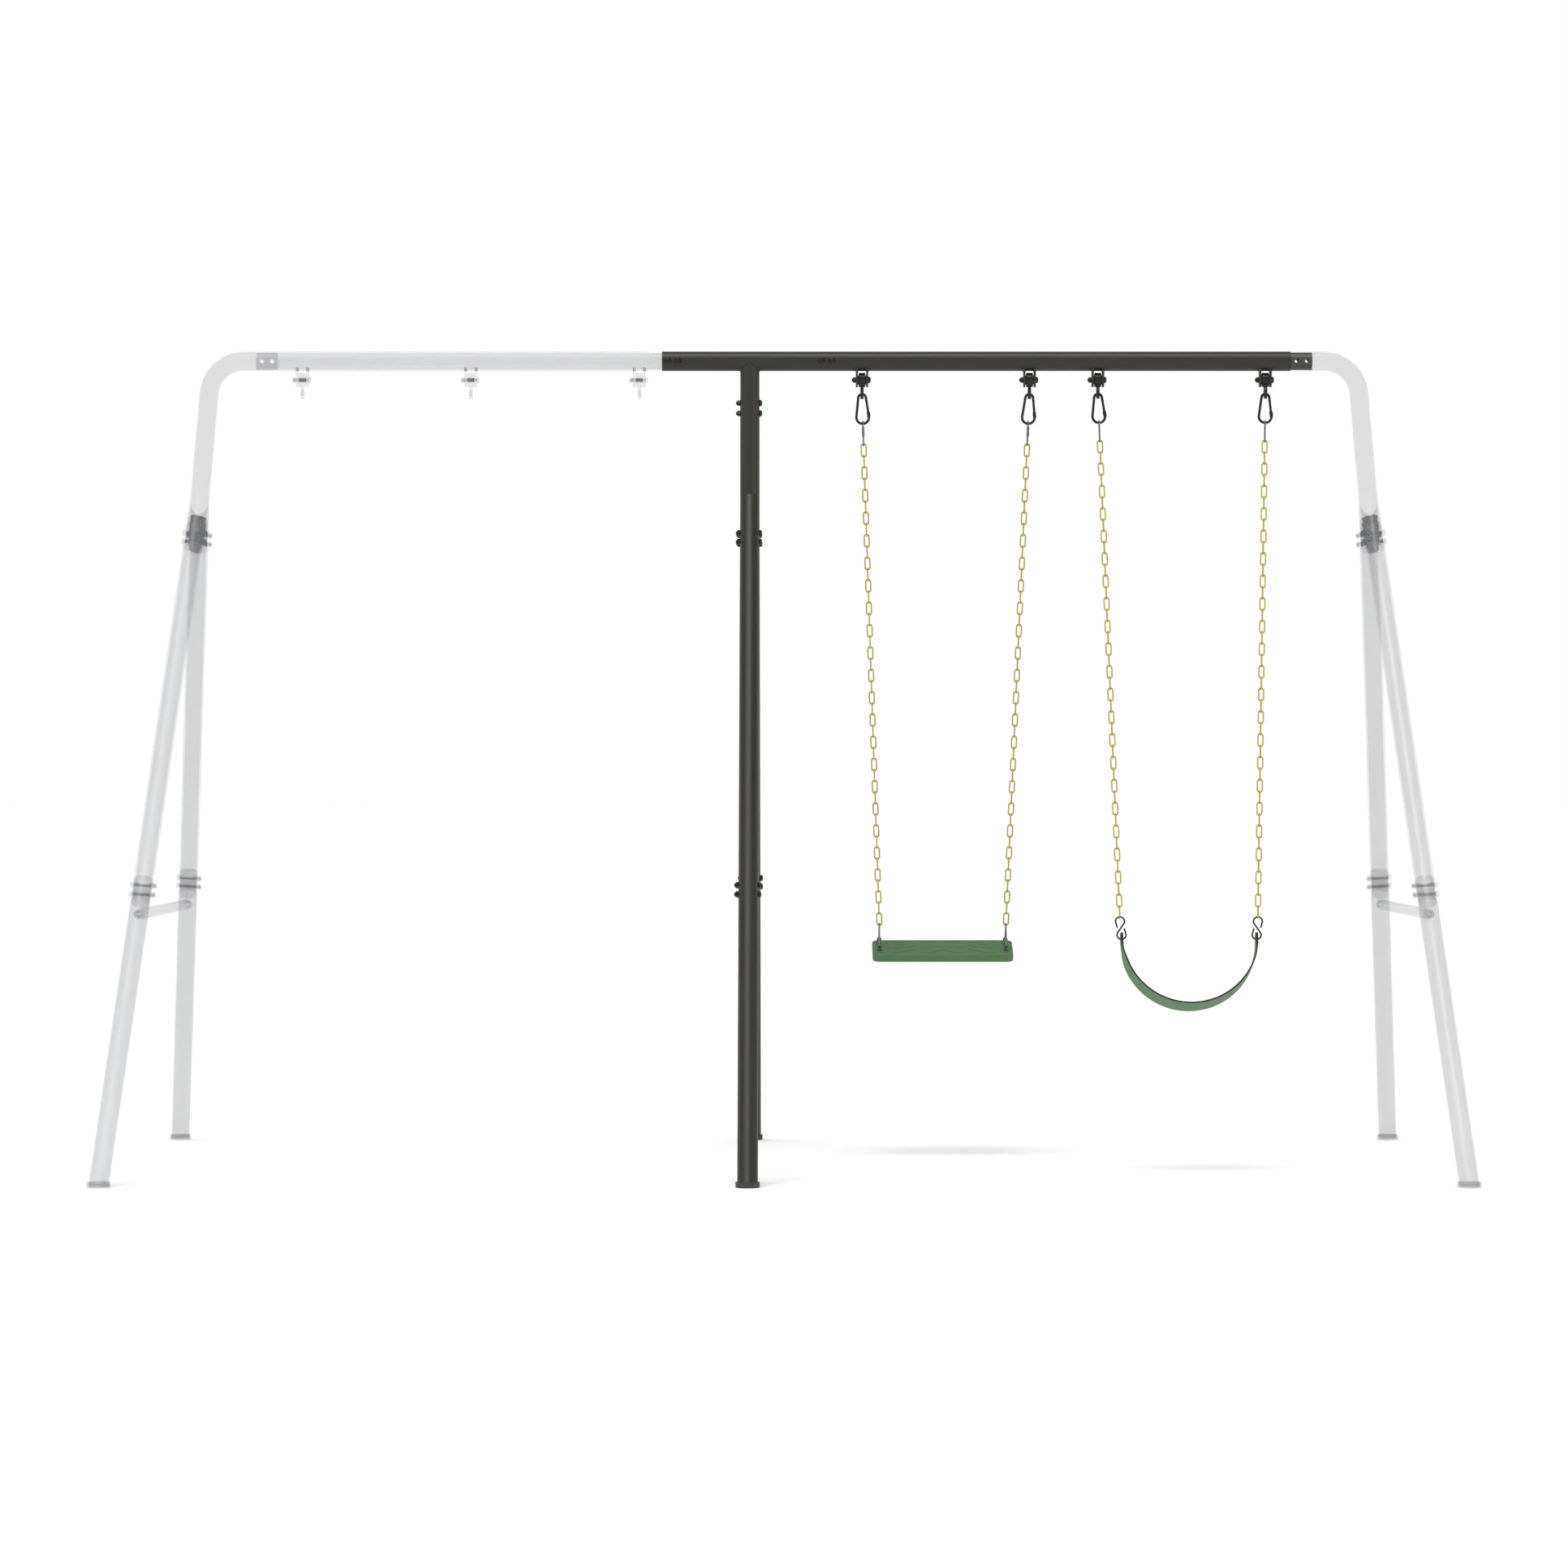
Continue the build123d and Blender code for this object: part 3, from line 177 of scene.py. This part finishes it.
# %% Hardware finishes
black_coat, shader = new_material("black_coated_steel", "#0c0c0c", 0.38, Specular_IOR_Level=0.35)
place, patches = mottled(black_coat, shader, "#090909", "#121111", 8)
rough_range(black_coat, shader, patches.outputs["Fac"], 0.30, 0.45)
grained(black_coat, shader, place, 1.5, 0.03)

zinc_plate, shader = new_material("zinc_plated_steel", "#6e6f71", 0.40, 1.0)
place, patches = mottled(zinc_plate, shader, "#626366", "#7b7c7f", 6)
rough_range(zinc_plate, shader, patches.outputs["Fac"], 0.32, 0.52)
grained(zinc_plate, shader, place, 0.8, 0.02)

dark_wire, shader = new_material("phosphated_steel_wire", "#1d1b19", 0.42, 0.4)
place, patches = mottled(dark_wire, shader, "#171514", "#272422", 5)
grained(dark_wire, shader, place, 0.8, 0.02)
print("made", black_coat.name, zinc_plate.name, dark_wire.name)

# %% [markdown]
# The chain is steel wire dipped in hot plastisol. The soft yellow skin is smooth and a little
# waxy, and slightly duller where links rub. A link is too small for drawn wear, so slow patches of
# tone and roughness stand for it, about half a link long.

# %% Plastisol on the chains
plastisol, shader = new_material("plastisol_coated_chain", "#a89e3c", 0.42, Specular_IOR_Level=0.3)
place, patches = mottled(plastisol, shader, "#9d9335", "#b3a945", 14)
rough_range(plastisol, shader, patches.outputs["Fac"], 0.36, 0.50)
grained(plastisol, shader, place, 2, 0.03)
print("made", plastisol.name)

# %% [markdown]
# The board is blow-moulded polyethylene with a spark-eroded texture: a matt green plastic with
# a grain under a millimetre, drawn at 1.5 mm. The belt is moulded rubber of the same green,
# a little darker and softer in its shine. Its half-round edges are drawn duller and darker. The grain is a bump
# and not real relief, because it is far finer than any mesh of a seat should be.

# %% Moulded green
green_board, shader = new_material("moulded_polyethylene", "#4a6b45", 0.52, Specular_IOR_Level=0.3)
place, patches = mottled(green_board, shader, "#446440", "#50724b", 35)
rough_range(green_board, shader, patches.outputs["Fac"], 0.46, 0.60)
grained(green_board, shader, place, 1.5, 0.12)

green_belt, shader = new_material("moulded_green_rubber", "#496a46", 0.48, Specular_IOR_Level=0.35)
place, patches = mottled(green_belt, shader, "#436340", "#50724c", 40)
rough_range(green_belt, shader, patches.outputs["Fac"], 0.42, 0.58)
grained(green_belt, shader, place, 1.5, 0.10)

# A darker, duller green-black for the faces of the belt's half-round edges.
edge_rubber, shader = new_material("darker_rubber_edge", "#1e271d", 0.60, Specular_IOR_Level=0.3)
place, patches = mottled(edge_rubber, shader, "#1a2219", "#232d22", 12)
grained(edge_rubber, shader, place, 1.2, 0.12)
print("made", green_board.name, green_belt.name, edge_rubber.name)

# %% [markdown]
# Small parts: the rubber cups under the middle legs, and the black nylon bushes that the swings
# turn on, whose flanges fill the gaps beside each barrel. Both are nearly black and mostly hidden,
# so a tone and a roughness are enough, with a little grain on the rubber.

# %% Rubber and nylon
cup_rubber, shader = new_material("moulded_black_rubber", "#35342f", 0.70)
place, patches = mottled(cup_rubber, shader, "#31302c", "#3a3934", 15)
grained(cup_rubber, shader, place, 1.5, 0.08)
black_nylon, shader = new_material("black_nylon", "#1b1b1a", 0.50)
place, patches = mottled(black_nylon, shader, "#171716", "#20201f", 5)
print("made", cup_rubber.name, black_nylon.name)

# %% [markdown]
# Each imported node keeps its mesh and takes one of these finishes. The record's slot says what a
# node is made of, so one table turns slots into finishes.

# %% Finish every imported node
finishes = {
    "steel_dark": powder_coat,
    "steel_pale": clear_coat,
    "fastener_black": black_coat,
    "steel_zinc": zinc_plate,
    "hook_dark": dark_wire,
    "chain_yellow": plastisol,
    "board_green": green_board,
    "belt_green": green_belt,
    "cap_rubber": cup_rubber,
    "cap_clear": clear_vinyl,
    "bush_nylon": black_nylon,
}
pale_fasteners = ["end_frame_bolts", "end_frame_nuts", "brace_bolts"]
pale_fasteners += ["left_hanger_bolts", "left_hanger_nuts"]
pale_bushes = ["left_hanger_bushes"]
corner_tubes = ["corner_tube_left", "corner_tube_right"]
for subpart in frame["record"]["subparts"]:
    name = subpart["node"]
    finish = finishes[subpart["material_slot"]]
    if name in pale_fasteners:
        finish = clear_fastener
    if name in corner_tubes or name in pale_bushes:
        finish = clear_corner
    for skin in nodes[name].material_slots:
        skin.material = finish
    for face in nodes[name].data.polygons:
        face.use_smooth = True

# %% [markdown]
# The belt is one moulding of thick rubber: a wide band with fine ribs along its underside, thicker
# and narrower at both ends where the hooks go through. It could be a bent plane with thickness, but
# the ribs and the taper need their own section at every step, so the band is swept: one
# closed section at each station of a line that runs down, round and up again.

# %% Where the belt hangs
BELT_T = 5 * MM
BELT_END_T = 8 * MM
BELT_W = 140 * MM
BELT_END_W = 44 * MM
BELT_RISE = 22 * MM  # strap above its hole
BELT_ROUND = 14 * MM  # rounding of the strap's tips
BELT_TAPER = 75 * MM  # length over which the strap widens
HOLE_R = 5.5 * MM
HOLE_DROP = 2.1 * MM  # hole centres under the wire that carries them
BELT_THICKEN = 25 * MM  # length over which the strap thickens
BELT_THICK_FROM = -10 * MM  # height under which it starts to thin
RIB_PITCH = 4.0 * MM
RIB_H = 0.35 * MM
RIB_FADE = 40 * MM  # length over which the ribs rise
RIB_POINTS = 4  # points to each rib
EDGE_STEPS = 8  # steps round each half-round edge
EDGE_ROUND = 0.8  # how far an edge bulges, as a share of half the thickness
INNER_STEPS = 12  # steps across the smooth inner face

OUTER_STEPS = RIB_POINTS * int(BELT_W / RIB_PITCH)  # steps across the ribbed outer face

low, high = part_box("belt_seat")
belt_r = (high[0] - low[0]) / 2 - BELT_END_T / 2
swing_pivot = Vector(joints["belt_swing_hinge"]["pos_m"])
belt_pivot = Vector(joints["belt_seat_pitch"]["pos_m"])
down = (belt_pivot - swing_pivot).normalized()
belt_angle = atan2(down.y, -down.z)
belt_place = Matrix.Translation(belt_pivot + down * HOLE_DROP) @ Matrix.Rotation(belt_angle, 4, "X")
print("belt radius", round(belt_r, 4), "hangs at", round(degrees(belt_angle), 2), "degrees")

# %% [markdown]
# A section is a closed loop of points: along the ribbed outer face, round one edge, back along the
# smooth inner face and round the other edge. Neighbouring loops are joined face by face, and the
# two tips are capped.

# %% One section of the belt


def smooth(value):
    """An even ramp from 0 to 1."""
    value = min(max(value, 0), 1)
    return value * value * (3 - 2 * value)


def belt_station(travel):
    """The middle of the band, its outward normal, and its height against the holes."""
    arc = pi * belt_r
    if travel < BELT_RISE:
        return Vector((-belt_r, 0, BELT_RISE - travel)), Vector((-1, 0, 0)), BELT_RISE - travel
    if travel > BELT_RISE + arc:
        climb = travel - BELT_RISE - arc
        return Vector((belt_r, 0, climb)), Vector((1, 0, 0)), climb
    turn = (travel - BELT_RISE) / belt_r
    outward = Vector((-cos(turn), 0, -sin(turn)))
    return outward * belt_r, outward, -min(turn, pi - turn) * belt_r


def belt_section(travel):
    """One closed section of the band, from the middle of its outer face right round."""
    middle, outward, height = belt_station(travel)
    half = BELT_END_W / 2 + (BELT_W - BELT_END_W) / 2 * smooth(-height / BELT_TAPER)
    past = height - (BELT_RISE - BELT_ROUND)
    if past > 0:
        half = half - BELT_ROUND + sqrt(max(BELT_ROUND**2 - past**2, 0))
    thickened = smooth(1 + (height - BELT_THICK_FROM) / BELT_THICKEN)
    thick = BELT_T + (BELT_END_T - BELT_T) * thickened
    edge = thick / 2 * EDGE_ROUND
    flat = max(half - edge, 1 * MM)
    ribbed = RIB_H * smooth(-height / RIB_FADE)
    points = []
    for step in range(OUTER_STEPS + 1):
        across = -flat + 2 * flat * step / OUTER_STEPS
        lift = ribbed * (0.5 - 0.5 * cos(2 * pi * across / RIB_PITCH))
        points.append(middle + outward * (thick / 2 - lift) + Vector((0, across, 0)))
    for step in range(1, EDGE_STEPS):
        turn = pi * step / EDGE_STEPS
        points.append(middle + outward * (thick / 2 * cos(turn)) + Vector((0, flat + edge * sin(turn), 0)))
    for step in range(INNER_STEPS + 1):
        across = flat - 2 * flat * step / INNER_STEPS
        points.append(middle - outward * (thick / 2) + Vector((0, across, 0)))
    for step in range(1, EDGE_STEPS):
        turn = pi * step / EDGE_STEPS
        points.append(middle - outward * (thick / 2 * cos(turn)) - Vector((0, flat + edge * sin(turn), 0)))
    return points


# %% [markdown]
# The weld beads further down are swept in the same way, so joining the loops is a helper of its own.

# %% Join sections into a mesh


def sweep_mesh_piece(name, sections):
    """Joins closed sections into one capped mesh."""
    mesh = bmesh.new()
    rings = [[mesh.verts.new(point) for point in section] for section in sections]
    for ring, after in zip(rings, rings[1:]):
        for i in range(len(ring)):
            j = (i + 1) % len(ring)
            mesh.faces.new((ring[i], ring[j], after[j], after[i]))
    mesh.faces.new(rings[0][::-1])
    mesh.faces.new(rings[-1])
    bmesh.ops.recalc_face_normals(mesh, faces=mesh.faces)
    data = bpy.data.meshes.new(name)
    mesh.to_mesh(data)
    mesh.free()
    for face in data.polygons:
        face.use_smooth = len(face.vertices) == 4
    piece = bpy.data.objects.new(name, data)
    bpy.context.scene.collection.objects.link(piece)
    return piece


# %% [markdown]
# The stations crowd together at the tips, to follow their rounding, and are even in between. The
# faces of the half-round edges take the duller, darker rubber, the rest the moulded one.

# %% Sweep the belt
TIP_STATIONS = 8  # closer together towards the tip, to follow its rounding
TIP_START = 0.15 * MM  # the first section, so that it isn't a point
MIDDLE_STATIONS = 150
belt_length = pi * belt_r + 2 * BELT_RISE
tips = [BELT_ROUND * (1 - cos(pi / 2 * step / TIP_STATIONS)) for step in range(TIP_STATIONS)]
tips[0] = TIP_START
between = belt_length - 2 * BELT_ROUND
middle_steps = [BELT_ROUND + between * step / MIDDLE_STATIONS for step in range(MIDDLE_STATIONS + 1)]
travels = tips + middle_steps + [belt_length - tip for tip in reversed(tips)]
sections = [belt_section(travel) for travel in travels]
belt = sweep_mesh_piece("belt", sections)
belt.data.materials.append(green_belt)
belt.data.materials.append(edge_rubber)
around = len(sections[0])
inner_start = OUTER_STEPS + EDGE_STEPS  # first point of the inner face
inner_end = inner_start + INNER_STEPS
for face in belt.data.polygons:
    corners = [corner % around for corner in face.vertices]
    near_edge = all(OUTER_STEPS <= corner <= inner_start for corner in corners)
    far_edge = all(corner == 0 or corner >= inner_end for corner in corners)
    face.material_index = 1 if len(corners) == 4 and (near_edge or far_edge) else 0
print("belt mesh", len(belt.data.polygons), "faces,", round(belt_length / MM), "mm along its middle")

# %% [markdown]
# The hooks go through a round hole near each tip. One long round cutter makes both holes at once.

# %% Punch the hook holes through the belt's ends
cutter_mesh = bmesh.new()
cutter_size = {"radius1": HOLE_R, "radius2": HOLE_R, "depth": 3 * belt_r}
bmesh.ops.create_cone(cutter_mesh, cap_ends=True, segments=32, **cutter_size)
bmesh.ops.rotate(cutter_mesh, verts=cutter_mesh.verts, matrix=Matrix.Rotation(pi / 2, 3, "Y"))
cutter_data = bpy.data.meshes.new("hole_cutter")
cutter_mesh.to_mesh(cutter_data)
cutter_mesh.free()
cutter = bpy.data.objects.new("hole_cutter", cutter_data)
bpy.context.scene.collection.objects.link(cutter)
punch = belt.modifiers.new("holes", "BOOLEAN")
punch.operation = "DIFFERENCE"
punch.object = cutter
cut = bpy.data.meshes.new_from_object(belt.evaluated_get(bpy.context.evaluated_depsgraph_get()))
belt.modifiers.clear()
belt.data = cut
bpy.data.objects.remove(cutter)
belt.data.transform(belt_place)
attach(belt, "belt_seat")
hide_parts("belt_seat")
print("belt after punching", len(belt.data.polygons), "faces")

# %% [markdown]
# Each hanger ear is welded to the beam along its coped edge, and the tee's stub along its saddle.
# A weld bead is a run of small overlapping puddles, so each bead is a thin tube along the joint
# whose thickness swells and shrinks every few millimetres. The powder coat covers it.

# %% Weld beads
BEAD_R = 2.0 * MM
RIPPLE = 3.0 * MM  # from one puddle to the next
RIPPLE_DEPTH = 0.18  # share of the bead's radius
BEAD_SIDES = 10
BEAD_TAPER = 0.45  # thickness of the first and last puddle


def bead(name, path, finish):
    """A rippled tube along a list of points, that rides on the frame."""
    sections = []
    travelled = 0
    for i, point in enumerate(path):
        before = path[max(i - 1, 0)]
        after = path[min(i + 1, len(path) - 1)]
        ahead = (after - before).normalized()
        travelled = travelled + (point - before).length
        side = ahead.orthogonal().normalized() if i == 0 else (side - ahead * side.dot(ahead)).normalized()
        other = ahead.cross(side)
        taper = BEAD_TAPER if i in (0, len(path) - 1) else 1.0
        radius = BEAD_R * taper * (1 - RIPPLE_DEPTH * (0.5 + 0.5 * cos(2 * pi * travelled / RIPPLE)))
        turns = [2 * pi * k / BEAD_SIDES for k in range(BEAD_SIDES)]
        sections.append([point + (side * cos(turn) + other * sin(turn)) * radius for turn in turns])
    piece = sweep_mesh_piece(name, sections)
    piece.data.materials.append(finish)
    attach(piece, "frame")
    return piece


TUBE_R = 30 * MM
EAR_T = 6 * MM
EAR_HALF_GAP = 13 * MM
EAR_HALF_W = 22.5 * MM
BARREL_HALF_W = 10.5 * MM
EAR_WELD_STEPS = 60
beam_low, beam_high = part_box("beam_right")
beam_z = (beam_low[2] + beam_high[2]) / 2
ear_reach = asin(EAR_HALF_W / TUBE_R)
hangers = [Vector(joint["pos_m"]) for name, joint in joints.items() if name.startswith("spare_pivot")]
for pivots in ("board_pivots", "belt_pivots"):
    pivot_low, pivot_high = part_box(pivots)
    hangers.append(Vector((pivot_low[0] + BARREL_HALF_W, 0, beam_z)))
    hangers.append(Vector((pivot_high[0] - BARREL_HALF_W, 0, beam_z)))
count = 0
for hanger in hangers:
    pale = hanger.x < 0
    for offset in (-EAR_HALF_GAP - EAR_T, -EAR_HALF_GAP, EAR_HALF_GAP, EAR_HALF_GAP + EAR_T):
        path = []
        for step in range(EAR_WELD_STEPS + 1):
            turn = -ear_reach + 2 * ear_reach * step / EAR_WELD_STEPS
            path.append(Vector((hanger.x + offset, TUBE_R * sin(turn), beam_z - TUBE_R * cos(turn))))
        finish, slot_name = (clear_coat, "steel_pale") if pale else (powder_coat, "steel_dark")
        count = count + 1
        bead(f"hanger_weld_{count}", path, finish)
print(count, "hanger weld beads")

# %% [markdown]
# The stub's weld follows the line where one round tube meets another: a saddle, high on two sides
# and low on the other two.

# %% Saddle weld of the tee
yoke_low, yoke_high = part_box("mid_yoke")
tee_x = (yoke_low[0] + yoke_high[0]) / 2
STUB_R = 29.6 * MM
SADDLE_STEPS = 240
saddle = []
for step in range(SADDLE_STEPS + 1):
    turn = 2 * pi * step / SADDLE_STEPS
    across = STUB_R * sin(turn)
    saddle.append(Vector((tee_x + STUB_R * cos(turn), across, beam_z - sqrt(TUBE_R**2 - across**2))))
bead("tee_saddle_weld", saddle, powder_coat)
print("tee saddle weld", round(sum((b - a).length for a, b in zip(saddle, saddle[1:])) / MM), "mm long")

# %% [markdown]
# The studio is a white floor with white walls all round and a dimmer ceiling, as for a catalogue.
# The main light is a very broad lamp overhead, so the tops are brighter than the faces and the
# shadows stay soft. A large lamp on each side puts a long highlight on the tubes: a cool one from
# the left and a warmer one from the right.

# %% Studio
SWEEP_HALF = 300.0  # metres, far enough to meet the horizon
sweep_mesh = bpy.data.meshes.new("studio_sweep")
corners = [(-1, -1), (1, -1), (1, 1), (-1, 1)]
sweep_mesh.from_pydata([(SWEEP_HALF * x, SWEEP_HALF * y, 0) for x, y in corners], [], [(0, 1, 2, 3)])
sweep = bpy.data.objects.new("studio_sweep", sweep_mesh)
bpy.context.scene.collection.objects.link(sweep)
paper, shader = new_material("white_paper", "#fbfbfb", 0.9)
sweep_mesh.materials.append(paper)

world = bpy.data.worlds.new("studio")
world.use_nodes = True
sky = world.node_tree.nodes
wires = world.node_tree.links
direction = sky.new("ShaderNodeTexCoord")
parts = sky.new("ShaderNodeSeparateXYZ")
ceiling = sky.new("ShaderNodeMapRange")
for socket, value in (("From Min", 0.20), ("From Max", 0.50), ("To Min", 1.0), ("To Max", 0.30)):
    ceiling.inputs[socket].default_value = value
wires.new(direction.outputs["Generated"], parts.inputs["Vector"])
wires.new(parts.outputs["Z"], ceiling.inputs["Value"])
wires.new(ceiling.outputs["Result"], sky["Background"].inputs["Strength"])
sky["Background"].inputs["Color"].default_value = (1, 1, 1, 1)
bpy.context.scene.world = world
bpy.context.scene.view_settings.view_transform = "Standard"


def soft_lamp(name, place, target, size, power, colour):
    """A square soft lamp that faces a point."""
    lamp = bpy.data.lights.new(name, "AREA")
    lamp.size = size
    lamp.energy = power
    lamp.color = linear(colour)[:3]
    holder = bpy.data.objects.new(name, lamp)
    holder.location = place
    holder.rotation_euler = (Vector(target) - Vector(place)).to_track_quat("-Z", "Y").to_euler()
    bpy.context.scene.collection.objects.link(holder)


soft_lamp("cool_lamp", (-7, -6, 5), (0, 0, 1.3), 3.0, 110, "#dfe8ff")
soft_lamp("warm_lamp", (7, -5, 4), (0, 0, 1.3), 2.5, 110, "#fff0dc")
overhead = bpy.data.lights.new("overhead", "SUN")
overhead.energy = 2.3
overhead.angle = 0.7
overhead_holder = bpy.data.objects.new("overhead", overhead)
overhead_holder.rotation_euler = (0.30, -0.12, 0)
bpy.context.scene.collection.objects.link(overhead_holder)
print("lit the studio")

# %% [markdown]
# A long lens from far off, level and square to the beam, keeps the frame's lines straight.

# %% Camera
camera = bpy.data.cameras.new("camera")
CAMERA_BACK = 19.6
CAMERA_HEIGHT = 1.1625
camera.lens = 146.3
camera.sensor_width = 36
camera.clip_end = 500
viewer = bpy.data.objects.new("camera", camera)
viewer.location = (0, -CAMERA_BACK, CAMERA_HEIGHT)
viewer.rotation_euler = (pi / 2, 0, 0)
bpy.context.scene.collection.objects.link(viewer)
bpy.context.scene.camera = viewer
print("camera", CAMERA_BACK, "m in front, with a", round(camera.lens), "mm lens")
